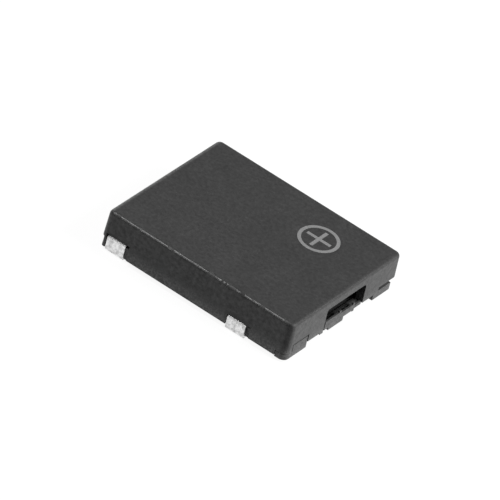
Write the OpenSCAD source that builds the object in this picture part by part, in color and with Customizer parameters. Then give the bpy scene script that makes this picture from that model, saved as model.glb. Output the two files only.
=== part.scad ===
// Thin surface-mount magnetic buzzer with a sound port in its end wall.
// X runs along the length, with the sound port at +X, Y runs across and Z up.
// The origin is the centre of the footprint, on the plane of the circuit board.
// Lengths are in millimetres and angles in degrees.

/* [Cover] */
// Length of the cover at its lower edge
cover_l = 11.0; // [10.4:0.1:13.2]
// Width of the cover at its lower edge
cover_w = 9.0; // [8.8:0.1:10.8]
// Height of the top face above the board
total_h = 2.22; // [2.17:0.05:2.72]
// Gap between the board and the lower edge of the cover
standoff = 0.24; // [0.2:0.01:0.28]
// Thickness of the top wall
roof_t = 0.3; // [0.25:0.05:0.4]
// Thickness of the walls along the long sides
side_wall = 0.4; // [0.3:0.05:0.42]
// Thickness of the walls at the two ends
end_wall = 0.42; // [0.3:0.02:0.46]
// Draft of the walls, so that they leave the mould
draft = 2; // [0.5:0.5:3]
// Radius of the upright corners at the top
corner_r = 0.28; // [0.24:0.01:0.5]
// Radius round the top face, at most that of the corners
edge_r = 0.2; // [0.05:0.01:0.24]
// Radius of the cavity's upright corners at the top
inner_corner_r = 0.22; // [0.14:0.02:0.4]
// Radius inside, between the walls and the top
inner_edge_r = 0.08; // [0.04:0.01:0.12]

/* [Sound port] */
// Width of the opening in the end wall
port_w = 3.15; // [2:0.05:3.6]
// Middle of the opening, measured from the centre line
port_y = 0.1; // [-0.3:0.05:0.3]
// Height of the opening's upper edge above the board
port_top = 1.72; // [1.32:0.02:1.78]
// Radius of the opening's upper corners
port_r = 0.17; // [0.05:0.01:0.2]

/* [End wall] */
// Height of the end wall's lower edge between the closed recess and the port
end_lift = 0.5; // [0.32:0.02:0.56]
// Height of its lower edge between the port and the open corner
far_end_lift = 0.62; // [0.32:0.02:0.66]
// Width of the tooth in the lower edge beside the port
tooth_w = 0.24; // [0.1:0.02:0.4]
// How far the tooth reaches down
tooth_h = 0.1; // [0.04:0.02:0.12]
// Distance from the centre line to the near edge of the closed recess
recess_in = 2.7; // [2.6:0.02:3]
// Distance from the centre line to the far edge of the closed recess
recess_out = 4.0; // [3.7:0.05:4.1]
// Height of the closed recess
recess_top = 0.94; // [0.76:0.02:0.98]
// Distance from the centre line to the open corner on the other side
open_corner_in = 2.95; // [2.8:0.05:3.3]
// Height of the open corner
open_corner_top = 0.9; // [0.76:0.02:0.96]
// Height of the cover's lower edge over the foot beside the recess
foot_corner_top = 0.52; // [0.4:0.02:0.62]
// Length of that foot along the long side
foot_corner_l = 0.62; // [0.5:0.02:0.8]
// Height of the cut corners at the closed end
closed_corner_top = 0.78; // [0.68:0.02:0.88]
// Width of the cut corners along the closed end
closed_corner_w = 0.6; // [0.5:0.05:0.8]

/* [Base] */
// Gap between the board and the base at its corners
base_lift = 0.17; // [0.14:0.01:0.2]
// Thickness of the base plate
plate_t = 0.4; // [0.35:0.05:0.5]
// Gap between the base and the inside of the cover
fit_gap = 0.04; // [0.02:0.01:0.06]
// How far the parts of the base that show stand back from the cover's faces
set_back = 0.06; // [0.04:0.01:0.1]
// Gap beside those parts
show_gap = 0.1; // [0.06:0.02:0.16]
// Gap where they fill a cut of the cover closely
close_gap = 0.02; // [0.01:0.01:0.04]
// How far the tab in the closed recess and the foot under it stand back
tab_back = 0.02; // [0.01:0.01:0.06]
// Gap round that tab
tab_gap = 0.1; // [0.06:0.02:0.16]
// Height of the foot under the open corner
corner_foot_h = 0.58; // [0.42:0.02:0.6]
// How far that foot stands back from the end wall
corner_back = 0.1; // [0.06:0.02:0.16]
// How far it stands back from the long side
corner_side_back = 0.36; // [0.1:0.02:0.4]
// How far the step above it stands back from the foot
corner_step = 0.2; // [0.1:0.02:0.24]
// Thickness of the flange that the yoke rests on
flange_t = 0.2; // [0.16:0.02:0.24]
// Width of that flange
flange_w = 0.35; // [0.2:0.05:0.5]
// Thickness of the ring wall beside the diaphragm
lip_t = 0.15; // [0.1:0.05:0.2]
// Width of the seat under the edge of the diaphragm
seat_w = 0.4; // [0.3:0.05:0.5]
// Depth from the top of the ring wall to that seat
seat_depth = 0.1; // [0.08:0.01:0.14]
// Height of the lug under the sound port
lug_top = 0.88; // [0.82:0.02:1.02]
// How much lower its far half is
lug_drop = 0.08; // [0.02:0.02:0.1]
// Distance from the middle of the sound port back to where the lug drops
lug_step = 0.1; // [0:0.02:0.4]
// Height of the sill beside the lug
sill_top = 0.7; // [0.62:0.02:0.74]
// Width of the sill beside the lug
sill_w = 0.53; // [0.3:0.01:0.8]
// Height of the sill's underside
sill_lift = 0.52; // [0.42:0.02:0.56]
// Height of the lug's underside
lug_lift = 0.4; // [0.32:0.02:0.42]
// How much higher it is on the lug's far half
lug_rise = 0.06; // [0.02:0.02:0.08]
// Length of the foot under the lug, from where the lug drops
lug_foot = 0.9; // [0.5:0.05:1]
// Thickness of the lug and sill, along the length
lug_t = 0.12; // [0.08:0.02:0.3]
// Width of the upright ribs on the lug
lug_rib = 0.14; // [0.08:0.02:0.2]
// How far the ribs stand above the lug
lug_rib_h = 0.08; // [0.04:0.02:0.12]

/* [Motor] */
// Diameter of the diaphragm
diaphragm_d = 7.4; // [6.8:0.1:7.5]
// Thickness of the diaphragm
diaphragm_t = 0.05; // [0.04:0.01:0.08]
// Gap round the edge of the diaphragm
diaphragm_gap = 0.05; // [0.03:0.01:0.08]
// Diameter of the armature disc on the diaphragm
armature_d = 2.6; // [2:0.1:3.2]
// Thickness of the armature disc
armature_t = 0.2; // [0.15:0.05:0.25]
// Thickness of the yoke plate
yoke_t = 0.25; // [0.2:0.05:0.3]
// Gap between the yoke plate and the ring wall
yoke_gap = 0.05; // [0.03:0.01:0.08]
// Gap between the magnet ring and the coil inside it
magnet_coil_gap = 0.25; // [0.15:0.05:0.4]
// Gap between the magnet ring and the base round it
magnet_side_gap = 0.25; // [0.1:0.05:0.4]
// Height of the magnet ring
magnet_h = 0.65; // [0.5:0.05:0.7]
// Chamfer on the edges of the magnet ring
magnet_chamfer = 0.08; // [0.04:0.02:0.12]
// Gap between the magnet ring and the seat of the diaphragm
magnet_gap = 0.12; // [0.08:0.01:0.16]
// Diameter of the pole core
core_d = 1.5; // [1.2:0.1:1.8]
// Diameter of the core's rivet through the yoke plate
rivet_d = 1.0; // [0.8:0.1:1.1]
// Gap between the pole core and the diaphragm at rest
air_gap = 0.08; // [0.06:0.01:0.12]
// Outer diameter of the coil
coil_od = 3.9; // [3.4:0.1:4]
// Height of the coil
coil_h = 0.6; // [0.45:0.05:0.6]
// Gap between the coil and the pole core
coil_gap = 0.05; // [0.03:0.01:0.08]
// Diameter of the coil's wire, with its enamel
wire_d = 0.06; // [0.05:0.01:0.08]
// Its diameter where it bends
bend_d = 0.072; // [0.064:0.002:0.08]
// Width of the groove and slot that each end of the coil runs through
groove_w = 0.3; // [0.2:0.02:0.4]
// Depth of that groove in the yoke plate
groove_depth = 0.12; // [0.08:0.01:0.16]
// Height of that slot in the ring wall
slot_h = 0.25; // [0.16:0.01:0.3]

/* [Terminals] */
// Width of each terminal
terminal_w = 1.05; // [0.9:0.05:1.2]
// Thickness of the terminal strip
strip_t = 0.12; // [0.1:0.01:0.14]
// Inner radius of the strip's bends
bend_r = 0.04; // [0.03:0.01:0.06]
// Distance from the closed end to the middle of the unconnected terminals
terminal_end = 0.88; // [0.8:0.01:1]
// Distance between the two terminals of one side
terminal_pitch = 7.2; // [6.9:0.02:7.3]
// Height of the unconnected terminals
dummy_top = 0.91; // [0.86:0.01:0.96]
// How far they stand back from the long side
dummy_back = 0.12; // [0:0.01:0.16]
// Gap above them in the cover's wall
dummy_gap = 0.12; // [0.02:0.02:0.16]
// Height of the connected terminals
live_top = 0.79; // [0.7:0.01:0.82]
// Length of the solder foot of each connected terminal under the base
foot_l = 0.95; // [0.7:0.05:1.2]
// How far each connected terminal reaches in over the base
pad_l = 1.4; // [1.2:0.05:1.5]
// How far the unconnected terminals reach in, over the base and under it
dummy_reach = 0.5; // [0.4:0.02:0.56]
// Gap in the cover's wall on the closed end's side of each terminal
terminal_gap = 0.04; // [0.02:0.01:0.06]
// Gap on its other side, where the base shows
terminal_wide_gap = 0.26; // [0.1:0.02:0.3]
// Gap above each connected terminal in the cover's wall
terminal_top_gap = 0.03; // [0.02:0.01:0.05]
// Gap between a terminal's foot and the underside of the base
foot_gap = 0.02; // [0.01:0.01:0.04]
// Radius of the solder on the coil's ends
solder_r = 0.3; // [0.2:0.02:0.4]
// Height of the solder on the coil's ends
solder_h = 0.12; // [0.1:0.01:0.16]

/* [Hidden] */
$fn = 64;
past = 0.2;       // how far a cut runs past the face that it opens
overlap = 0.05;   // how far a rib or foot runs into what carries it
half_l = cover_l / 2;
half_w = cover_w / 2;
cover_h = total_h - standoff;
cavity_h = cover_h - roof_t;
ceiling = total_h - roof_t;
inner_half_l = half_l - end_wall;
inner_half_w = half_w - side_wall;

// Terminals, and the motor midway between them
dummy_x = -half_l + terminal_end;
live_x = dummy_x + terminal_pitch;
motor_x = (dummy_x + live_x) / 2;
outer_bend_r = bend_r + strip_t;
ledge_y = half_w - outer_bend_r;

// The stack of the motor, from the base's underside up to the armature
underside = strip_t + foot_gap;
plate_top = underside + plate_t;
yoke_bottom = underside + flange_t;
yoke_top = yoke_bottom + yoke_t;
seat_d = diaphragm_d + 2 * diaphragm_gap;
ring_d = seat_d + 2 * lip_t;
bore_d = seat_d - 2 * seat_w;
seat_z = yoke_top + magnet_h + magnet_gap;
ring_top = seat_z + seat_depth;
core_top = seat_z - air_gap;
coil_id = core_d + 2 * coil_gap;
magnet_id = coil_od + 2 * magnet_coil_gap;
magnet_od = bore_d - 2 * magnet_side_gap;

// Where the coil's ends run: through a groove in the yoke, a slot in the ring wall, onto the pad
pad_y = half_w - pad_l + solder_r;
lead_angle = atan2(pad_y, live_x - motor_x);
lead_reach = norm([live_x - motor_x, pad_y]);
pad_edge = (half_w - pad_l) / sin(lead_angle);   // where the lead passes over the pad's edge
lead_start = coil_od / 2 - 2.5 * wire_d;         // inside the winding

module sector(r, from, to) {
    // Part of a disc between two angles that are under 180 apart
    mid = (from + to) / 2;
    intersection() {
        circle(r);
        polygon([[0, 0], 2 * r * [cos(from), sin(from)], 3 * r * [cos(mid), sin(mid)],
                 2 * r * [cos(to), sin(to)]]);
    }
}

module arch(w, h, r) {
    // An upright outline on the X axis with rounded upper corners
    translate([-w / 2, 0]) square([w, h - r]);
    translate([r - w / 2, h - r]) square([w - 2 * r, r]);
    translate([w / 2 - r, h - r]) sector(r, 0, 90);
    translate([r - w / 2, h - r]) sector(r, 90, 180);
}

module wall_section(h, r, slope, round_r) {
    // From the upright axis of a corner outwards: a wall r away at the foot, rounded into the top
    centre_y = h - round_r;
    centre_x = r - (round_r + centre_y * sin(slope)) / cos(slope);
    polygon([[0, 0], [r, 0],
             [centre_x + round_r * cos(slope), centre_y + round_r * sin(slope)],
             [centre_x, centre_y], [centre_x, h], [0, h]]);
    translate([centre_x, centre_y]) sector(round_r, slope, 90);
}

module moulded_block(l, w, h, top_r, slope, round_r) {
    // A block with drafted walls, rounded corners and a rounded top edge. The corners' radius
    // at the foot is a whole hundredth, so that they meet the straight walls exactly.
    r = ceil(100 * (top_r + h * tan(slope))) / 100;
    top_round = min(round_r, top_r);
    for (turn = [0:3]) {
        across = turn % 2 == 0 ? l / 2 : w / 2;
        along = turn % 2 == 0 ? w / 2 : l / 2;
        rotate([0, 0, 90 * turn]) translate([across - r, along - r, 0]) {
            rotate_extrude(angle = 90) wall_section(h, r, slope, top_round);
            rotate([90, 0, 0]) linear_extrude(2 * (along - r))
                wall_section(h, r, slope, top_round);
        }
    }
    translate([r - l / 2, r - w / 2, 0]) cube([l - 2 * r, w - 2 * r, h]);
}

module box(x, y, z) {
    // A block between two values on each axis
    translate([x[0], y[0], z[0]]) cube([x[1] - x[0], y[1] - y[0], z[1] - z[0]]);
}

module each_side() {
    // The same thing on both long sides
    children();
    mirror([0, 1, 0]) children();
}

module rib_under_roof() {
    // The ring that sits on the base's ring wall, open towards the port
    translate([motor_x, 0, 0]) difference() {
        translate([0, 0, ring_top]) cylinder(h = ceiling - ring_top + overlap, d = ring_d);
        translate([0, 0, ring_top - past])
            cylinder(h = ceiling - ring_top + past + overlap * 2, d = ring_d - 2 * seat_w);
        box([0, ring_d], [port_y - port_w / 2, port_y + port_w / 2],
            [ring_top - past, ceiling + past]);
    }
}

module port_cut() {
    // An opening with rounded upper corners
    translate([inner_half_l - past, port_y, 0]) rotate([90, 0, 90]) linear_extrude(end_wall + 2 * past)
        arch(port_w, port_top, port_r);
}

module end_cuts() {
    // The lower edge of the end wall, its closed recess and its two corners
    x = [inner_half_l - past, half_l + past];
    port_left = port_y - port_w / 2;
    box(x, [-recess_in, port_left - tooth_w], [0, end_lift]);
    box(x, [port_left - tooth_w - overlap, port_y], [0, end_lift - tooth_h]);
    box(x, [port_y, open_corner_in], [0, far_end_lift]);
    box(x, [-recess_out, -recess_in], [0, recess_top]);
    box(x, [open_corner_in, half_w + past], [0, open_corner_top]);
    box([half_l - foot_corner_l, half_l + past], [-half_w - past, -recess_out + past / 2],
        [0, foot_corner_top]);
}

module terminal_cut(x, top) {
    // Opening in a long wall for a terminal
    box([x - terminal_w / 2 - terminal_gap, x + terminal_w / 2 + terminal_wide_gap],
        [inner_half_w - past, half_w + past], [0, top]);
}

module closed_corner_cut() {
    // Corner of the closed end, open as far as the terminal beside it
    box([-half_l - past, dummy_x], [inner_half_w - past, half_w + past], [0, closed_corner_top]);
    box([-half_l - past, -inner_half_l + past], [half_w - closed_corner_w, half_w + past],
        [0, closed_corner_top]);
}

module cover() {
    color("#3a3a3c") union() {
        difference() {
            translate([0, 0, standoff])
                moulded_block(cover_l, cover_w, cover_h, corner_r, draft, edge_r);
            translate([0, 0, standoff - past])
                moulded_block(2 * inner_half_l, 2 * inner_half_w, cavity_h + past,
                              inner_corner_r, draft, inner_edge_r);
            port_cut();
            end_cuts();
            each_side() {
                terminal_cut(live_x, live_top + terminal_top_gap);
                terminal_cut(dummy_x, dummy_top + dummy_gap);
                closed_corner_cut();
            }
        }
        rib_under_roof();
    }
}

module base_plate() {
    // Flat plate that fills the mouth of the cavity, with rounded corners
    x = inner_half_l - fit_gap - inner_corner_r;
    y = inner_half_w - fit_gap - inner_corner_r;
    linear_extrude(plate_t) {
        square([2 * (x + inner_corner_r), 2 * y], center = true);
        square([2 * x, 2 * (y + inner_corner_r)], center = true);
        for (turn = [0:90:270])
            translate([sign(cos(turn + 45)) * x, sign(sin(turn + 45)) * y])
                sector(inner_corner_r, turn, turn + 90);
    }
}

module ledge(x, top, back, reach) {
    // Step of the base that a terminal is folded round, wide enough to show beside it
    edge = x + terminal_w / 2;
    last = edge + terminal_wide_gap - show_gap / 2;
    box([x - terminal_w / 2, last], [half_w - reach - overlap, ledge_y - back],
        [underside, top - strip_t]);
    if (back > 0)
        box([edge + close_gap, last], [half_w - reach, ledge_y], [underside, top - strip_t]);
}

module closed_corner() {
    // Corner of the base that shows beside the unconnected terminal
    leg_start = dummy_x - terminal_w / 2;
    top = closed_corner_top - show_gap;
    box([-half_l, leg_start + overlap], [half_w - closed_corner_w + show_gap, ledge_y - dummy_back],
        [base_lift, top]);
    box([-half_l, leg_start - bend_r], [ledge_y - dummy_back - overlap, half_w - dummy_back],
        [base_lift, top]);
}

module port_lug() {
    // Thin lug and sill under the sound port, with two upright ribs and a foot
    face = half_l - set_back;
    left = port_y - port_w / 2 + 2 * show_gap;
    right = port_y + port_w / 2 - close_gap;
    lug_right = right - sill_w;
    low_top = lug_top - lug_drop;
    step_y = port_y - lug_step;
    thin = [face - lug_t, face];
    box([inner_half_l - fit_gap - overlap, face], [left, right],
        [sill_lift, plate_top + show_gap]);
    box(thin, [left, right], [sill_lift, sill_top]);
    box(thin, [left, lug_right], [lug_lift + lug_rise, low_top]);
    box(thin, [left, step_y], [lug_lift, lug_top]);
    for (rib = [[step_y, lug_top], [lug_right, low_top]])
        box(thin, [rib[0] - lug_rib, rib[0]], [lug_lift, rib[1] + lug_rib_h]);
    box([inner_half_l - fit_gap - overlap, face], [step_y - lug_foot, step_y + 2 * lug_rib],
        [standoff, lug_lift + lug_rise + overlap]);
}

module recess_tab() {
    // Tab in the closed recess, on the foot that runs to the corner
    root = inner_half_l - fit_gap - overlap;
    box([root, half_l], [tab_gap - recess_out, -recess_in - close_gap],
        [base_lift, recess_top - tab_gap]);
    box([half_l - foot_corner_l + close_gap, half_l], [-half_w, -recess_in - close_gap - overlap],
        [base_lift, foot_corner_top - show_gap / 2]);
}

module open_corner_post() {
    // Foot under the open corner, with a step above it that stands back
    root = inner_half_l - fit_gap - overlap;
    face = half_l - corner_back;
    side = half_w - corner_side_back;
    box([root, face], [open_corner_in - 2 * show_gap, side], [base_lift, corner_foot_h]);
    box([root, face - corner_step], [open_corner_in + show_gap, side - corner_step],
        [base_lift, open_corner_top - show_gap / 2]);
}

module show_outline(back) {
    // The cover's own form, set back: what shows of the base stays inside it
    moulded_block(cover_l - 2 * back, cover_w - 2 * back, total_h, corner_r - back, draft, back);
}

module lead_slot() {
    rotate([0, 0, lead_angle])
        box([bore_d / 2 - past, ring_d / 2 + past], [-groove_w / 2, groove_w / 2],
            [yoke_top - groove_depth, yoke_top + slot_h]);
}

module base() {
    color("#434345") difference() {
        union() {
            translate([0, 0, underside]) base_plate();
            translate([motor_x, 0, underside]) cylinder(h = ring_top - underside, d = ring_d);
            each_side() {
                ledge(live_x, live_top, 0, pad_l);
                ledge(dummy_x, dummy_top, dummy_back, dummy_reach);
            }
            intersection() {
                show_outline(set_back);
                union() {
                    each_side() closed_corner();
                    port_lug();
                    open_corner_post();
                }
            }
            intersection() {
                show_outline(tab_back);
                recess_tab();
            }
        }
        translate([motor_x, 0, 0]) {
            translate([0, 0, yoke_bottom]) cylinder(h = ring_top, d = bore_d);
            translate([0, 0, -past]) cylinder(h = ring_top, d = bore_d - 2 * flange_w);
            translate([0, 0, seat_z]) cylinder(h = ring_top, d = seat_d);
            each_side() lead_slot();
        }
    }
}

module yoke_plate() {
    // Round plate with a hole for the core's rivet and a groove for each end of the coil
    color("#a9abae") translate([motor_x, 0, 0]) difference() {
        translate([0, 0, yoke_bottom]) cylinder(h = yoke_t, d = bore_d - 2 * yoke_gap);
        translate([0, 0, yoke_bottom - past]) cylinder(h = yoke_t + 2 * past, d = rivet_d);
        each_side() rotate([0, 0, lead_angle])
            box([core_d / 2 + groove_w, bore_d], [-groove_w / 2, groove_w / 2],
                [yoke_top - groove_depth, yoke_top + past]);
    }
}

module pole_core() {
    color("#b5b7ba") translate([motor_x, 0, 0]) {
        translate([0, 0, yoke_top]) cylinder(h = core_top - yoke_top, d = core_d);
        translate([0, 0, yoke_bottom]) cylinder(h = yoke_t + overlap, d = rivet_d);
    }
}

module magnet() {
    color("#57585c") translate([motor_x, 0, yoke_top]) rotate_extrude()
        polygon([[magnet_id / 2 + magnet_chamfer, 0], [magnet_od / 2 - magnet_chamfer, 0],
                 [magnet_od / 2, magnet_chamfer], [magnet_od / 2, magnet_h - magnet_chamfer],
                 [magnet_od / 2 - magnet_chamfer, magnet_h],
                 [magnet_id / 2 + magnet_chamfer, magnet_h],
                 [magnet_id / 2, magnet_h - magnet_chamfer], [magnet_id / 2, magnet_chamfer]]);
}

module wire(points) {
    // A round wire through the points, with a slight swelling at each bend
    for (i = [1:len(points) - 1]) {
        run = points[i] - points[i - 1];
        translate(points[i - 1]) rotate([0, acos(run.z / norm(run)), atan2(run.y, run.x)])
            cylinder(h = norm(run), d = wire_d);
    }
    for (i = [1:len(points) - 2])
        translate(points[i]) sphere(d = bend_d);
}

module lead() {
    // One end of the coil, from inside the winding to the pad of the terminal
    along = [cos(lead_angle), sin(lead_angle), 0];
    low = yoke_top - groove_depth / 2;
    high = live_top + bend_d / 2;
    translate([motor_x, 0, 0])
        wire([along * lead_start + [0, 0, yoke_top + coil_h / 2],
              along * lead_start + [0, 0, low],
              along * (bore_d / 2 - lip_t / 2) + [0, 0, low],
              along * (ring_d / 2 + lip_t / 2) + [0, 0, yoke_top + slot_h / 2],
              along * (pad_edge - bend_d) + [0, 0, high],
              along * lead_reach + [0, 0, high]]);
}

module coil() {
    color("#b06a38") union() {
        translate([motor_x, 0, yoke_top]) difference() {
            cylinder(h = coil_h, d = coil_od);
            translate([0, 0, -past]) cylinder(h = coil_h + 2 * past, d = coil_id);
        }
        each_side() lead();
    }
}

module diaphragm() {
    color("#c4c6c9") translate([motor_x, 0, seat_z]) cylinder(h = diaphragm_t, d = diaphragm_d);
}

module armature() {
    color("#9a9ca0") translate([motor_x, 0, seat_z + diaphragm_t])
        cylinder(h = armature_t, d = armature_d);
}

module strip_bend(from) {
    difference() {
        sector(outer_bend_r, from, from + 90);
        circle(bend_r);
    }
}

module terminal(x, top, back, pad, foot) {
    // Tinned strip on the +Y side: pad on the base, leg down the outside, foot under the base
    leg_out = half_w - back;
    bend_y = leg_out - outer_bend_r;
    pad_in = half_w - pad;
    foot_in = half_w - foot;
    color("#cfd0d2") translate([x - terminal_w / 2, 0, 0]) rotate([90, 0, 90])
        linear_extrude(terminal_w) {
            translate([pad_in, top - strip_t]) square([bend_y - pad_in, strip_t]);
            translate([bend_y, top - outer_bend_r]) strip_bend(0);
            translate([leg_out - strip_t, outer_bend_r]) square([strip_t, top - 2 * outer_bend_r]);
            translate([bend_y, outer_bend_r]) strip_bend(270);
            translate([foot_in, 0]) square([bend_y - foot_in, strip_t]);
        }
}

module solder() {
    // Low dome over the end of the coil on the +Y pad
    ball_r = (solder_r * solder_r + solder_h * solder_h) / (2 * solder_h);
    color("#bfc1c4") difference() {
        intersection() {
            translate([live_x, pad_y, live_top + solder_h - ball_r]) sphere(ball_r);
            box([live_x - solder_r, live_x + solder_r], [pad_y - solder_r, pad_y + solder_r],
                [live_top, live_top + solder_h + past]);
        }
        lead();
    }
}

module live_terminal() { terminal(live_x, live_top, 0, pad_l, foot_l); }
module dummy_terminal() { terminal(dummy_x, dummy_top, dummy_back, dummy_reach, dummy_reach); }
module terminal_positive() { live_terminal(); }
module terminal_negative() { mirror([0, 1, 0]) live_terminal(); }
module terminal_dummy_rear() { dummy_terminal(); }
module terminal_dummy_front() { mirror([0, 1, 0]) dummy_terminal(); }
module solder_positive() { solder(); }
module solder_negative() { mirror([0, 1, 0]) solder(); }

cover();
base();
yoke_plate();
pole_core();
coil();
magnet();
diaphragm();
armature();
terminal_positive();
terminal_negative();
terminal_dummy_front();
terminal_dummy_rear();
solder_positive();
solder_negative();
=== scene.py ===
import math

import bmesh
import bpy
from mathutils import Matrix, Vector


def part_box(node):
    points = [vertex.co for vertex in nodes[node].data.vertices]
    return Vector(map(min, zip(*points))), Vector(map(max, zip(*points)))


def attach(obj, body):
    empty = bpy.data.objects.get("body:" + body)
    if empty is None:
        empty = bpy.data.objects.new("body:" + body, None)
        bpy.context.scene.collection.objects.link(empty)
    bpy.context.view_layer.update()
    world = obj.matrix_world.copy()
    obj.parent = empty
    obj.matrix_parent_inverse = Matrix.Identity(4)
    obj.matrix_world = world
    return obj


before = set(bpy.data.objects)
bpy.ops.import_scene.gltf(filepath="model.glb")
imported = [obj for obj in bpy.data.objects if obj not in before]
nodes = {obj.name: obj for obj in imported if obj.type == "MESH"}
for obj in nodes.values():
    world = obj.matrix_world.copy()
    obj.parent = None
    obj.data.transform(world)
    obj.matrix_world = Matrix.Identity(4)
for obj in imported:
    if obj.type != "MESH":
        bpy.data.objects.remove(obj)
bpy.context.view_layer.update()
scene = bpy.context.scene
mm = 0.001
print("frame loaded:", len(nodes), "nodes")


def directionTo(place):
    # from the part towards a camera or a lamp, by its azimuth and elevation in degrees
    azimuth, elevation = math.radians(place["azimuth"]), math.radians(place["elevation"])
    return Vector((math.sin(azimuth) * math.cos(elevation),
                   -math.cos(azimuth) * math.cos(elevation), math.sin(elevation)))


# Camera: it looks back along the direction that azimuth and elevation give, turned by roll
cameraView = {
    "azimuth": 27.154,  # degrees
    "elevation": 35.986,
    "roll": 15.434,
    "place": (147.496, -287.646, 235.835),  # mm, as the lens and sensor
    "lens": 617.62,
    "sensor": 36.0,
    "farClip": 20.0,  # m
}


def makeCamera(view):
    azimuth, roll = math.radians(view["azimuth"]), math.radians(view["roll"])
    back = directionTo(view)
    level = Vector((math.cos(azimuth), math.sin(azimuth), 0))
    upright = back.cross(level)
    right = math.cos(roll) * level + math.sin(roll) * upright
    up = -math.sin(roll) * level + math.cos(roll) * upright
    data = bpy.data.cameras.new("camera")
    data.lens = view["lens"]
    data.sensor_width = view["sensor"]
    data.clip_end = view["farClip"]
    camera = bpy.data.objects.new("camera", data)
    scene.collection.objects.link(camera)
    turn = Matrix((right, up, back)).transposed().to_4x4()
    camera.matrix_world = Matrix.Translation(Vector(view["place"]) * mm) @ turn
    scene.camera = camera


makeCamera(cameraView)
scene.view_settings.view_transform = "Standard"


# Node helpers: a value that is a socket is linked, and any other value is set
def findSocket(sockets, key):
    for socket in sockets:
        if socket.identifier == key:
            return socket
    return sockets[key]


def put(tree, kind, values=None, **settings):
    node = tree.nodes.new(kind)
    for name, value in settings.items():
        setattr(node, name, value)
    for key, value in (values or {}).items():
        socket = findSocket(node.inputs, key)
        if isinstance(value, bpy.types.NodeSocket):
            tree.links.new(value, socket)
        else:
            socket.default_value = value
    return node


def calc(tree, operation, first, second=0.0):
    return put(tree, "ShaderNodeMath", {0: first, 1: second}, operation=operation).outputs[0]


def calcVector(tree, operation, first, second=(0, 0, 0)):
    node = put(tree, "ShaderNodeVectorMath", {0: first, 1: second}, operation=operation)
    return node.outputs["Value" if operation == "LENGTH" else "Vector"]


def product(tree, *values):
    result = values[0]
    for value in values[1:]:
        result = calc(tree, "MULTIPLY", result, value)
    return result


def split(tree, vector):
    return put(tree, "ShaderNodeSeparateXYZ", {"Vector": vector}).outputs


def spread(tree, value, low, high, toLow, toHigh, smooth=False):
    kind = "SMOOTHSTEP" if smooth else "LINEAR"
    return put(tree, "ShaderNodeMapRange", {"Value": value, "From Min": low, "From Max": high,
                                            "To Min": toLow, "To Max": toHigh},
               interpolation_type=kind).outputs["Result"]


def fade(tree, value, reach, unit=1.0):
    # 1 up to the nearer end of the reach, and 0 from its farther end on
    near, far = reach
    return spread(tree, value, near * unit, far * unit, 1, 0, smooth=True)


def factor(tree, mask, full):
    # a factor of 1 where the mask is 0, and the full factor where it is 1
    return spread(tree, mask, 0, 1, 1, full)


def mix(tree, share, first, second, blend="MIX"):
    node = put(tree, "ShaderNodeMix", {"Factor_Float": share, "A_Color": first, "B_Color": second},
               data_type="RGBA", blend_type=blend)
    return findSocket(node.outputs, "Result_Color")


def bump(tree, height, depth, strength=1.0, under=None):
    values = {"Height": height, "Distance": depth * mm, "Strength": strength}
    if under is not None:
        values["Normal"] = under
    return put(tree, "ShaderNodeBump", values).outputs["Normal"]


# Patterns that the materials are made of, on the part's own coordinates in mm
noiseSpan = (0.3, 0.7)  # nearly all of a noise lies between these
noiseMiddle = 0.5
noiseForms = {  # detail and roughness
    "grain": (4, 0.62),
    "tumbled": (4, 0.65),
    "mottle": (3, 0.6),
    "soft": (2, 0.5),
    "patches": (1, 0.55),
    "nicks": (1, 0.5),
}


def noise(tree, place, perMm, form="mottle", stretch=None):
    detail, roughness = noiseForms[form]
    if stretch:
        place = put(tree, "ShaderNodeMapping", {"Vector": place, "Scale": stretch}).outputs["Vector"]
    return put(tree, "ShaderNodeTexNoise", {"Vector": place, "Scale": perMm, "Detail": detail,
                                            "Roughness": roughness}).outputs["Fac"]


def around(tree, value, contrast):
    # a factor about 1 from a noise, with the contrast as its whole range
    centred = spread(tree, value, *noiseSpan, -1, 1)
    return calc(tree, "ADD", product(tree, contrast, 0.5, centred), 1.0)


def unevenRoughness(tree, value, look):
    # rougher where the noise is low
    half = look["roughnessSpread"] / 2
    return spread(tree, value, *noiseSpan, look["roughness"] + half, look["roughness"] - half)


def specks(tree, place, look):
    # 1 on small round specks, which are only there in patches
    cell = put(tree, "ShaderNodeTexVoronoi", {"Vector": place, "Scale": look["perMm"],
                                              "Randomness": 1.0}).outputs["Distance"]
    patches = noise(tree, place, look["patchPerMm"], "patches")
    return product(tree, fade(tree, cell, look["size"]), spread(tree, patches, *look["rarity"], 0, 1))


def newMaterial(name):
    material = bpy.data.materials.new(name)
    material.use_nodes = True
    tree = material.node_tree
    shader = tree.nodes["Principled BSDF"]
    place = put(tree, "ShaderNodeTexCoord").outputs["Object"]
    inMm = put(tree, "ShaderNodeMapping", {"Vector": place, "Scale": (1 / mm, 1 / mm, 1 / mm)})
    return material, tree, shader, inMm.outputs["Vector"]


def grey(value):
    return (value, value, value, 1)


def dress(material, *names):
    for name in names:
        mesh = nodes[name].data
        mesh.materials.clear()
        mesh.materials.append(material)


def boxInMm(name):
    low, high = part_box(name)
    return low / mm, high / mm


terminalNames = ("terminal_positive", "terminal_negative", "terminal_dummy_front",
                 "terminal_dummy_rear")

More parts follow.
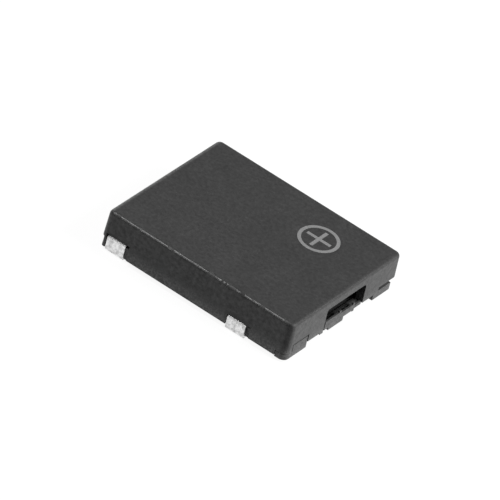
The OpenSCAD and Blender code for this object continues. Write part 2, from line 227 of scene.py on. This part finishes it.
# Moulded plastic: charcoal compound with a mineral filler. Its grain and mottle are stronger on
# the long walls than on the top and the ends, and the upper edges have small nicks. The cover and
# the base share the values of anyPlastic. All lengths are in mm.
anyPlastic = {
    "wallFacing": (0.3, 0.9),  # from long walls to the rest, by how far a face looks up or endwards
    "endFacing": (0.7, 0.97),
    "frontFacing": (-0.7, -0.4),
    "longRim": (1.0, 2.0),  # full up to the first and gone at the second, in widths of the rim
    "closedRim": (0.5, 2.2),
    "cornerFromPort": (1.5, 3.0),
    "cornerFromSide": (2.0, 3.0),
    "rimDulling": -0.06,  # less than nothing, so a little glossier
    "nickRarity": (0.56, 0.60),
    "nickDulling": 0.2,
    "chipSide": (-1.0, 0.0),  # full at the first place across the part and gone at the second
    "chipCore": 0.6,  # share of the half length that is full
    # painted shade beside the terminals fades out over these
    "terminalShadeFade": (0.3, 1.0),  # shares of the reach
    "footFade": (0.05, 0.25),  # over the lower edge, with the foot's height added to the second
    "chalk": (0.42, 0.60),
    "leastChalk": 0.3,
}
coverPlastic = {
    **anyPlastic,
    "colour": 0.0315,
    "grainPerMm": 11.0,
    "grainContrast": 0.28,
    "mottlePerMm": 5.0,
    "mottleContrast": 0.45,
    "wallContrast": 1.25,
    "cloudPerMm": 0.7,
    "cloudContrast": 0.16,
    "flecks": {"perMm": 6.0, "size": (0.04, 0.20), "patchPerMm": 2.0, "rarity": (0.55, 0.66)},
    "fleckLift": 0.030,
    "roughness": 0.34,
    "roughnessSpread": 0.12,
    "specular": 0.21,
    "grainDepth": 0.004,
    "mottleDepth": 0.006,
    "rimWidth": 0.16,
    "rimRelief": 0.25,
    # painted highlight along the closed end's upper rim
    "closedRimPaintedHighlight": 4.6,
    "cornerDulling": 0.22,
    # painted shade in the corner between the port's end and the negative terminal's side
    "cornerShade": 0.55,
    "nickPerMm": 1.7,
    "nickDepth": 0.010,
    "chips": ((1.24, 0.05), (1.46, 0.05), (2.42, 0.13)),  # place along the rim and half length
    "chipDulling": 0.45,
    # painted shade beside the terminals: its reach in mm and its factor on the colour
    "terminalShadeReach": 0.32,
    "terminalShade": 0.45,
    "footHeight": 0.55,
    "footWave": 0.9,
    "footLift": 0.076,
    # painted light: faces turned to the ends are made lighter
    "endPaintedLight": 1.3,
    "inside": None,
}
basePlastic = {
    **anyPlastic,
    "colour": 0.052,
    "grainPerMm": 9.0,
    "grainContrast": 0.25,
    "mottlePerMm": 4.5,
    "mottleContrast": 0.45,
    "wallContrast": 1.10,
    "cloudPerMm": 1.2,
    "cloudContrast": 0.15,
    "flecks": {"perMm": 6.0, "size": (0.04, 0.20), "patchPerMm": 2.0, "rarity": (0.55, 0.66)},
    "fleckLift": 0.045,
    "roughness": 0.46,
    "roughnessSpread": 0.16,
    "specular": 0.28,
    "grainDepth": 0.006,
    "mottleDepth": 0.012,
    "rimWidth": 0.10,
    "rimRelief": 0.5,
    "closedRimPaintedHighlight": 1.0,
    "cornerDulling": 0.1,
    "cornerShade": 1.0,
    "nickPerMm": 3.0,
    "nickDepth": 0.010,
    "chips": (),
    "chipDulling": 0.0,
    # painted shade beside the terminals: its reach in mm and its factor on the colour
    "terminalShadeReach": 0.2,
    "terminalShade": 0.7,
    "footHeight": 0.4,
    "footWave": 0.5,
    "footLift": 0.018,
    # painted light: faces turned to the ends are made lighter
    "endPaintedLight": 1.12,
    "inside": {"low": (0.5, 0.7, 0.3), "high": (0.32, 0.7, -1.0), "fade": 0.12, "shade": 0.37},
}


def upperRims(tree, place, name, look):
    # 1 on the long upper edges of a node's box, on its closed end's upper edge, and in the corner
    # between the port's end and the negative terminal's side
    low, high = boxInMm(name)
    middle, half = (low + high) / 2, (high - low) / 2
    width = look["rimWidth"]
    x, y, z = split(tree, place)
    below = calc(tree, "SUBTRACT", high.z, z)
    away = calc(tree, "ABSOLUTE", calc(tree, "SUBTRACT", y, middle.y))
    fromLong = calc(tree, "SUBTRACT", half.y, away)
    fromClosed = calc(tree, "SUBTRACT", x, low.x)
    longRim = fade(tree, calc(tree, "ADD", fromLong, below), look["longRim"], width)
    closedRim = fade(tree, calc(tree, "ADD", fromClosed, below), look["closedRim"], width)
    fromPort = fade(tree, calc(tree, "SUBTRACT", high.x, x), look["cornerFromPort"], width)
    fromSide = fade(tree, calc(tree, "SUBTRACT", y, low.y), look["cornerFromSide"], width)
    return longRim, closedRim, product(tree, fromPort, fromSide)


def chipMarks(tree, place, look):
    # 1 on the short lengths of the negative terminal's side that have lost their gloss
    x, y, _ = split(tree, place)
    total = 0.0
    for middle, half in look["chips"]:
        away = calc(tree, "ABSOLUTE", calc(tree, "SUBTRACT", x, middle))
        total = calc(tree, "ADD", total, spread(tree, away, look["chipCore"] * half, half, 1, 0))
    return product(tree, total, spread(tree, y, *look["chipSide"], 1, 0))


def paintedShadeBesideTerminals(tree, place, look):
    # painted shade beside the terminals, for the shadow in the gaps around them: 1 near each terminal
    most = 0.0
    for name in terminalNames:
        low, high = boxInMm(name)
        away = calcVector(tree, "ABSOLUTE", calcVector(tree, "SUBTRACT", place, (low + high) / 2))
        gap = calcVector(tree, "MAXIMUM", calcVector(tree, "SUBTRACT", away, (high - low) / 2))
        near = fade(tree, calcVector(tree, "LENGTH", gap), look["terminalShadeFade"], look["terminalShadeReach"])
        most = calc(tree, "MAXIMUM", most, near)
    return most


def insideShade(tree, place, name, look):
    # a factor on the colour of what lies inside a node's box, shrunk by a margin at each corner
    low, high = boxInMm(name)
    low, high = low + Vector(look["low"]), high - Vector(look["high"])
    away = calcVector(tree, "ABSOLUTE", calcVector(tree, "SUBTRACT", place, (low + high) / 2))
    x, y, z = split(tree, calcVector(tree, "SUBTRACT", (high - low) / 2, away))
    least = calc(tree, "MINIMUM", calc(tree, "MINIMUM", x, y), z)
    return spread(tree, least, 0, look["fade"], 1, look["shade"], smooth=True)


def chalkyFoot(tree, place, name, look, grain, mottle):
    # the filler that shows in a wavy band along the lower edge
    lowest = boxInMm(name)[0].z
    near, far = look["footFade"]
    wave = product(tree, calc(tree, "SUBTRACT", mottle, noiseMiddle), look["footWave"])
    height = calc(tree, "ADD", split(tree, place)[2], wave)
    foot = fade(tree, height, (lowest + near, lowest + far + look["footHeight"]))
    chalky = spread(tree, grain, *look["chalk"], look["leastChalk"], 1, smooth=True)
    return product(tree, foot, chalky, look["footLift"])


def mouldedPlastic(name, look, node):
    material, tree, shader, place = newMaterial(name)
    facing = split(tree, put(tree, "ShaderNodeNewGeometry").outputs["Normal"])
    endwards, upwards = calc(tree, "ABSOLUTE", facing[0]), calc(tree, "ABSOLUTE", facing[2])
    grain = noise(tree, place, look["grainPerMm"], "grain")
    mottle = noise(tree, place, look["mottlePerMm"])
    cloud = noise(tree, place, look["cloudPerMm"], "soft")
    mottleContrast = spread(tree, calc(tree, "MAXIMUM", endwards, upwards), *look["wallFacing"],
                            look["wallContrast"], look["mottleContrast"])
    # marks of handling and moulding, and the masks where shade and light are painted: shade in the
    # front corner, a highlight on the closed end's rim
    rim, closedRim, corner = upperRims(tree, place, node, look)
    paintedShadeCorner = product(tree, corner, fade(tree, facing[1], look["frontFacing"]))
    chip = product(tree, chipMarks(tree, place, look), rim)
    nick = spread(tree, noise(tree, place, look["nickPerMm"], "nicks"), *look["nickRarity"], 0, 1,
                  smooth=True)
    nick = calc(tree, "MAXIMUM", product(tree, nick, rim), chip)
    # colour: factors on the compound's own, painted shade in the front corner, beside the terminals
    # and inside the base, painted light on the closed end's rim and on faces turned to the ends, and
    # then the filler that shows
    colour = product(tree, around(tree, grain, look["grainContrast"]),
                     around(tree, mottle, mottleContrast),
                     around(tree, cloud, look["cloudContrast"]), look["colour"],
                     factor(tree, paintedShadeCorner, look["cornerShade"]),
                     factor(tree, paintedShadeBesideTerminals(tree, place, look), look["terminalShade"]),
                     # painted highlight on the closed end's rim
                     factor(tree, closedRim, look["closedRimPaintedHighlight"]),
                     spread(tree, endwards, *look["endFacing"], 1, look["endPaintedLight"]))
    if look["inside"]:
        colour = product(tree, colour, insideShade(tree, place, node, look["inside"]))
    flecks = product(tree, specks(tree, place, look["flecks"]), look["fleckLift"])
    foot = chalkyFoot(tree, place, node, look, grain, mottle)
    colour = calc(tree, "ADD", colour, calc(tree, "ADD", flecks, foot))
    # gloss and relief
    rough = unevenRoughness(tree, mottle, look)
    for mask, dulling in ((nick, "nickDulling"), (chip, "chipDulling"), (rim, "rimDulling"),
                          (corner, "cornerDulling")):
        rough = calc(tree, "ADD", rough, product(tree, mask, look[dulling]))
    strength = factor(tree, rim, look["rimRelief"])  # the handled rim is rubbed smoother
    relief = bump(tree, mottle, look["mottleDepth"], strength)
    relief = bump(tree, grain, look["grainDepth"], strength, relief)
    relief = bump(tree, calc(tree, "SUBTRACT", 1.0, nick), look["nickDepth"], under=relief)
    tree.links.new(colour, shader.inputs["Base Color"])
    tree.links.new(rough, shader.inputs["Roughness"])
    tree.links.new(relief, shader.inputs["Normal"])
    shader.inputs["Specular IOR Level"].default_value = look["specular"]
    return material


dress(mouldedPlastic("cover_plastic", coverPlastic, "cover"), "cover")
dress(mouldedPlastic("base_plastic", basePlastic, "base"), "base")
print("plastic done")


# Tinned strip: matte tin, lumpy, with small pits and fine lines from rolling
tin = {
    "bright": 0.83,
    "dull": 0.57,
    "patchPerMm": 5.0,
    "patchSpan": (0.34, 0.62),
    "finePerMm": 16.0,
    "fineContrast": 0.14,
    "linesPerMm": 12.0,
    "lineContrast": 0.12,
    "lineStretch": (1, 0.08, 0.08),
    "pits": {"perMm": 5.0, "size": (0.08, 0.22), "patchPerMm": 3.5, "rarity": (0.5, 0.56)},
    "pitShade": 0.45,
    "roughness": 0.46,
    "roughnessSpread": 0.2,
    "metallic": 0.9,
    "lumpDepth": 0.009,  # mm
    "pitDepth": 0.01,
}


def tinnedStrip(look):
    material, tree, shader, place = newMaterial("tinned_strip")
    patch = noise(tree, place, look["patchPerMm"])
    fine = noise(tree, place, look["finePerMm"])
    lines = noise(tree, place, look["linesPerMm"], "soft", look["lineStretch"])
    pit = specks(tree, place, look["pits"])
    metal = mix(tree, spread(tree, patch, *look["patchSpan"], 0, 1, smooth=True),
                grey(look["dull"]), grey(look["bright"]))
    metal = mix(tree, pit, metal, grey(look["pitShade"]), "MULTIPLY")
    texture = product(tree, around(tree, fine, look["fineContrast"]),
                      around(tree, lines, look["lineContrast"]))
    metal = mix(tree, 1.0, metal, texture, "MULTIPLY")
    lumps = bump(tree, patch, look["lumpDepth"])
    relief = bump(tree, calc(tree, "SUBTRACT", 1.0, pit), look["pitDepth"], under=lumps)
    tree.links.new(metal, shader.inputs["Base Color"])
    tree.links.new(unevenRoughness(tree, patch, look), shader.inputs["Roughness"])
    tree.links.new(relief, shader.inputs["Normal"])
    shader.inputs["Metallic"].default_value = look["metallic"]
    return material


dress(tinnedStrip(tin), *terminalNames)
print("terminals done")


# The motor: its metals are one recipe with other colours, wear and tool marks
anyMetal = {
    "roughnessSpread": 0.16,
    "metallic": 1.0,
    "patchShare": 0.65,  # of the tone; the marks give the rest
    "toneSpan": (0.36, 0.64),
    "ringsShare": 1 / 3,  # a wave pattern of scale 1 has about three rings to the mm
    "ringsDistortion": 0.6,
    "ringsDetail": 2.0,
    "rolledStretch": (0.06, 1, 1),
}
motorMetals = {
    "yoke_iron": {"on": ("yoke_plate",), "light": (0.60, 0.58, 0.54), "dark": (0.42, 0.41, 0.39),
                  "patchPerMm": 2.2, "roughness": 0.34, "marks": "tumbled", "marksPerMm": 9.0,
                  "markDepth": 0.003},
    "core_iron": {"on": ("pole_core",), "light": (0.64, 0.62, 0.58), "dark": (0.46, 0.45, 0.42),
                  "patchPerMm": 3.0, "roughness": 0.28, "marks": "turned", "marksPerMm": 14.0,
                  "markDepth": 0.003},
    "diaphragm_steel": {"on": ("diaphragm",), "light": (0.62, 0.62, 0.63), "dark": (0.50, 0.50, 0.51),
                        "patchPerMm": 1.5, "roughness": 0.26, "marks": "rolled", "marksPerMm": 12.0,
                        "markDepth": 0.002},
    "armature_steel": {"on": ("armature",), "light": (0.52, 0.52, 0.54), "dark": (0.36, 0.36, 0.38),
                       "patchPerMm": 2.5, "roughness": 0.38, "marks": "rolled", "marksPerMm": 9.0,
                       "markDepth": 0.004},
    "magnet_sinter": {"on": ("magnet",), "light": (0.17, 0.17, 0.18), "dark": (0.08, 0.08, 0.085),
                      "patchPerMm": 6.0, "roughness": 0.50, "marks": "tumbled", "marksPerMm": 15.0,
                      "markDepth": 0.006, "metallic": 0.55},
    "solder": {"on": ("solder_positive", "solder_negative"), "light": (0.78, 0.78, 0.79),
               "dark": (0.58, 0.57, 0.55), "patchPerMm": 5.0, "roughness": 0.24, "marks": "tumbled",
               "marksPerMm": 6.0, "markDepth": 0.006},
}


def motorAxis():
    low, high = boxInMm("magnet")
    return (low + high) / 2


def toolMarks(tree, place, look):
    perMm = look["marksPerMm"]
    if look["marks"] == "turned":  # rings about the motor's axis
        centred = put(tree, "ShaderNodeMapping", {"Vector": place, "Location": -motorAxis()})
        return put(tree, "ShaderNodeTexWave", {
            "Vector": centred.outputs["Vector"], "Scale": perMm * look["ringsShare"],
            "Distortion": look["ringsDistortion"], "Detail": look["ringsDetail"]},
                   wave_type="RINGS", rings_direction="Z").outputs["Fac"]
    if look["marks"] == "rolled":  # fine lines along the sheet's length
        return noise(tree, place, perMm, "mottle", look["rolledStretch"])
    return noise(tree, place, perMm, "tumbled")


def motorMetal(name, look):
    material, tree, shader, place = newMaterial(name)
    marks = toolMarks(tree, place, look)
    patch = noise(tree, place, look["patchPerMm"])
    tone = calc(tree, "ADD", product(tree, patch, look["patchShare"]),
                product(tree, marks, 1 - look["patchShare"]))
    metal = mix(tree, spread(tree, tone, *look["toneSpan"], 0, 1),
                (*look["dark"], 1), (*look["light"], 1))
    tree.links.new(metal, shader.inputs["Base Color"])
    tree.links.new(unevenRoughness(tree, tone, look), shader.inputs["Roughness"])
    tree.links.new(bump(tree, marks, look["markDepth"]), shader.inputs["Normal"])
    shader.inputs["Metallic"].default_value = look["metallic"]
    return material


for metalName, metalLook in motorMetals.items():
    dress(motorMetal(metalName, {**anyMetal, **metalLook}), *metalLook["on"])
print("motor metals done")


# Coil: enamelled copper. The winding's outer layer and upper layer are real turns of wire, on
# the sleeve that the frame holds, each turn standing half a wire proud.
winding = {
    "innerRadius": 0.83,  # mm
    "outerRadius": 1.95,
    "height": 0.60,
    "wire": 0.06,
    "stepsPerTurn": 40,
    "sides": 6,
    "copper": (0.62, 0.26, 0.10),
    "dark": (0.38, 0.13, 0.05),
    "shadePerMm": 5.0,
    "shadeSpan": (0.35, 0.65),
    "finePerMm": 22.0,
    "fineDepth": 0.001,
    "roughness": 0.30,
    "roughnessSpread": 0.12,
    "metallic": 0.9,
    "coat": 0.6,
    "coatRoughness": 0.12,
}


def enamelledCopper(look):
    material, tree, shader, place = newMaterial("copper_wire")
    shade = noise(tree, place, look["shadePerMm"])
    fine = noise(tree, place, look["finePerMm"], "soft")
    copper = mix(tree, spread(tree, shade, *look["shadeSpan"], 0, 1),
                 (*look["dark"], 1), (*look["copper"], 1))
    tree.links.new(copper, shader.inputs["Base Color"])
    tree.links.new(unevenRoughness(tree, fine, look), shader.inputs["Roughness"])
    tree.links.new(bump(tree, fine, look["fineDepth"]), shader.inputs["Normal"])
    shader.inputs["Metallic"].default_value = look["metallic"]
    shader.inputs["Coat Weight"].default_value = look["coat"]
    shader.inputs["Coat Roughness"].default_value = look["coatRoughness"]
    return material


def windingTree(material):
    # one spiral of wire: a helix where it has a height, a flat coil where its radius grows
    tree = bpy.data.node_groups.new("windingLayer", "GeometryNodeTree")
    ports = tree.interface
    ports.new_socket("Geometry", in_out="OUTPUT", socket_type="NodeSocketGeometry")
    for name, kind in (("Turns", "Float"), ("Steps", "Int"), ("Start Radius", "Float"),
                       ("End Radius", "Float"), ("Height", "Float"), ("Wire Radius", "Float"),
                       ("Sides", "Int")):
        ports.new_socket(name, in_out="INPUT", socket_type="NodeSocket" + kind)
    given = put(tree, "NodeGroupInput").outputs
    path = put(tree, "GeometryNodeCurveSpiral", {
        "Resolution": given["Steps"], "Rotations": given["Turns"],
        "Start Radius": given["Start Radius"], "End Radius": given["End Radius"],
        "Height": given["Height"]}).outputs["Curve"]
    ring = put(tree, "GeometryNodeCurvePrimitiveCircle", {
        "Resolution": given["Sides"], "Radius": given["Wire Radius"]}).outputs["Curve"]
    wire = put(tree, "GeometryNodeCurveToMesh", {"Curve": path, "Profile Curve": ring,
                                                 "Fill Caps": True}).outputs["Mesh"]
    smooth = put(tree, "GeometryNodeSetShadeSmooth", {"Geometry": wire}).outputs[0]
    real = put(tree, "GeometryNodeRealizeInstances", {"Geometry": smooth}).outputs[0]
    painted = put(tree, "GeometryNodeSetMaterial", {"Geometry": real, "Material": material})
    put(tree, "NodeGroupOutput", {"Geometry": painted.outputs["Geometry"]})
    return tree


def growLayer(name, tree, values, lift):
    # evaluate the tree on a throwaway object, and keep the result as a plain mesh in its place
    carrier = bpy.data.objects.new(name, bpy.data.meshes.new(name))
    scene.collection.objects.link(carrier)
    modifier = carrier.modifiers.new("winding", "NODES")
    modifier.node_group = tree
    for item in tree.interface.items_tree:
        if item.in_out == "INPUT":
            modifier[item.identifier] = values[item.name]
    evaluated = carrier.evaluated_get(bpy.context.evaluated_depsgraph_get())
    mesh = bpy.data.meshes.new_from_object(evaluated)
    carrier.modifiers.clear()
    x, y, _ = motorAxis()
    mesh.transform(Matrix.Translation(Vector((x, y, lift)) * mm))
    carrier.data = mesh
    return carrier


def makeWinding(look):
    material = enamelledCopper(look)
    dress(material, "coil")
    tree = windingTree(material)
    foot = boxInMm("magnet")[0].z
    wire = look["wire"]
    values = {"Steps": look["stepsPerTurn"], "Sides": look["sides"], "Wire Radius": wire / 2 * mm}
    outer = dict(values, Turns=look["height"] / wire - 1, Height=(look["height"] - wire) * mm)
    outer["Start Radius"] = outer["End Radius"] = look["outerRadius"] * mm
    upper = dict(values, Turns=(look["outerRadius"] - look["innerRadius"] - wire) / wire, Height=0.0)
    upper["Start Radius"] = (look["innerRadius"] + wire / 2) * mm
    upper["End Radius"] = (look["outerRadius"] - wire / 2) * mm
    for name, layer, lift in (("winding_outer", outer, foot + wire / 2),
                              ("winding_upper", upper, foot + look["height"])):
        piece = growLayer(name, tree, layer, lift)
        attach(piece, "root")


makeWinding(winding)
print("winding done")


# Polarity mark: a ring with a plus, printed on the top face over the positive terminal
polarity = {
    "centre": (2.264, 1.985),  # mm
    "outerRadius": 1.035,
    "stroke": 0.18,
    "armLength": 1.36,
    "armWidth": 0.185,
    "inkThickness": 0.006,
    "sunk": 0.004,
    "ringSteps": 128,
    "colour": 0.175,
    "worn": 0.135,
    "wearPerMm": 14.0,
    "wearSpan": (0.35, 0.65),
    "roughness": 0.6,
}


def raisePrism(bm, outline, low, high, hole=None):
    # a closed prism from an outline, with an optional hole of as many points
    rings = [[bm.verts.new((x * mm, y * mm, z * mm)) for x, y in points]
             for points in ([outline] + ([hole] if hole else [])) for z in (low, high)]
    count = len(outline)
    for i in range(count):
        j = (i + 1) % count
        bm.faces.new((rings[0][i], rings[0][j], rings[1][j], rings[1][i]))
        if hole:
            bm.faces.new((rings[2][j], rings[2][i], rings[3][i], rings[3][j]))
            bm.faces.new((rings[1][i], rings[1][j], rings[3][j], rings[3][i]))
            bm.faces.new((rings[0][j], rings[0][i], rings[2][i], rings[2][j]))
    if not hole:
        bm.faces.new(rings[1])
        bm.faces.new(list(reversed(rings[0])))


def circleOutline(centre, radius, steps):
    turns = [2 * math.pi * i / steps for i in range(steps)]
    return [(centre[0] + radius * math.cos(a), centre[1] + radius * math.sin(a)) for a in turns]


def plusOutline(centre, reach, half):
    # three points of one arm, turned to each quarter
    outline = []
    for c, s in ((1, 0), (0, 1), (-1, 0), (0, -1)):
        for x, y in ((half, -half), (reach, -half), (reach, half)):
            outline.append((centre[0] + c * x - s * y, centre[1] + s * x + c * y))
    return outline


def markingInk(look):
    material, tree, shader, place = newMaterial("marking_ink")
    wear = spread(tree, noise(tree, place, look["wearPerMm"]), *look["wearSpan"], 0, 1)
    ink = mix(tree, wear, grey(look["worn"]), grey(look["colour"]))
    tree.links.new(ink, shader.inputs["Base Color"])
    shader.inputs["Roughness"].default_value = look["roughness"]
    return material


def makePolarityMark(look):
    top = boxInMm("cover")[1].z
    low, high = top - look["sunk"], top + look["inkThickness"]
    centre, outer = look["centre"], look["outerRadius"]
    bm = bmesh.new()
    raisePrism(bm, circleOutline(centre, outer, look["ringSteps"]), low, high,
               circleOutline(centre, outer - look["stroke"], look["ringSteps"]))
    raisePrism(bm, plusOutline(centre, look["armLength"] / 2, look["armWidth"] / 2), low, high)
    mesh = bpy.data.meshes.new("polarity_mark")
    bm.to_mesh(mesh)
    bm.free()
    mark = bpy.data.objects.new("polarity_mark", mesh)
    scene.collection.objects.link(mark)
    mesh.materials.append(markingInk(look))
    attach(mark, "root")


makePolarityMark(polarity)
print("polarity mark done")


# Studio: a pale floor, an even sky and three soft boxes. A share of 1 turned straight at a
# surface shows its colour as it is written. Lengths are in metres and angles in degrees.
studio = {
    "floorSize": 4.0,
    "floorDrop": 0.00001,
    "floorColour": 0.33,
    "floorShade": 0.10,
    "floorGlow": 0.91,
    "sky": 0.3,
    "backdropTop": 0.25,
}
softBoxes = {
    "right": {"azimuth": 112, "elevation": 32, "distance": 0.5, "size": 0.26, "share": 1.60},
    "left": {"azimuth": -68, "elevation": 66, "distance": 0.5, "size": 0.12, "share": 0.50},
    "front": {"azimuth": -35, "elevation": 48, "distance": 0.5, "size": 0.06, "share": 0.09},
}


def makeFloor(look):
    half = look["floorSize"] / 2
    mesh = bpy.data.meshes.new("floor")
    corners = [(x * half, y * half, -look["floorDrop"]) for x, y in
               ((-1, -1), (1, -1), (1, 1), (-1, 1))]
    mesh.from_pydata(corners, [], [(0, 1, 2, 3)])
    floor = bpy.data.objects.new("floor", mesh)
    scene.collection.objects.link(floor)
    material = bpy.data.materials.new("floor")
    material.use_nodes = True
    tree = material.node_tree
    tree.nodes.clear()
    plain = put(tree, "ShaderNodeBsdfDiffuse", {"Color": grey(look["floorColour"])})
    shade = put(tree, "ShaderNodeBsdfDiffuse", {"Color": grey(look["floorShade"])})
    glow = put(tree, "ShaderNodeEmission", {"Strength": look["floorGlow"]})
    white = put(tree, "ShaderNodeAddShader", {0: shade.outputs[0], 1: glow.outputs[0]})
    path = put(tree, "ShaderNodeLightPath").outputs
    mirrored = calc(tree, "MAXIMUM", path["Is Glossy Ray"], path["Is Transmission Ray"])
    seen = calc(tree, "MAXIMUM", path["Is Camera Ray"], mirrored)
    both = put(tree, "ShaderNodeMixShader", {0: seen, 1: plain.outputs[0], 2: white.outputs[0]})
    put(tree, "ShaderNodeOutputMaterial", {"Surface": both.outputs[0]})
    mesh.materials.append(material)


def makeSky(look):
    # an even sky. The camera sees white, and mirrors see a white backdrop that fades out upwards.
    world = bpy.data.worlds.new("sky")
    world.use_nodes = True
    tree = world.node_tree
    path = put(tree, "ShaderNodeLightPath").outputs
    height = split(tree, put(tree, "ShaderNodeTexCoord").outputs["Generated"])[2]
    backdrop = product(tree, path["Is Glossy Ray"], fade(tree, height, (0, look["backdropTop"])))
    white = calc(tree, "MAXIMUM", path["Is Camera Ray"], backdrop)
    background = tree.nodes["Background"]
    background.inputs["Color"].default_value = grey(1)
    tree.links.new(spread(tree, white, 0, 1, look["sky"], 1), background.inputs["Strength"])
    scene.world = world


def makeSoftBox(name, look):
    towards = directionTo(look)
    data = bpy.data.lights.new(name, "AREA")
    data.size = look["size"]
    data.energy = look["share"] * (math.pi * look["distance"]) ** 2  # watts that give the share
    lamp = bpy.data.objects.new(name, data)
    lamp.location = towards * look["distance"]
    lamp.rotation_euler = towards.to_track_quat("Z", "Y").to_euler()
    scene.collection.objects.link(lamp)


makeFloor(studio)
makeSky(studio)
for boxName, boxLook in softBoxes.items():
    makeSoftBox(boxName, boxLook)
print("studio done")
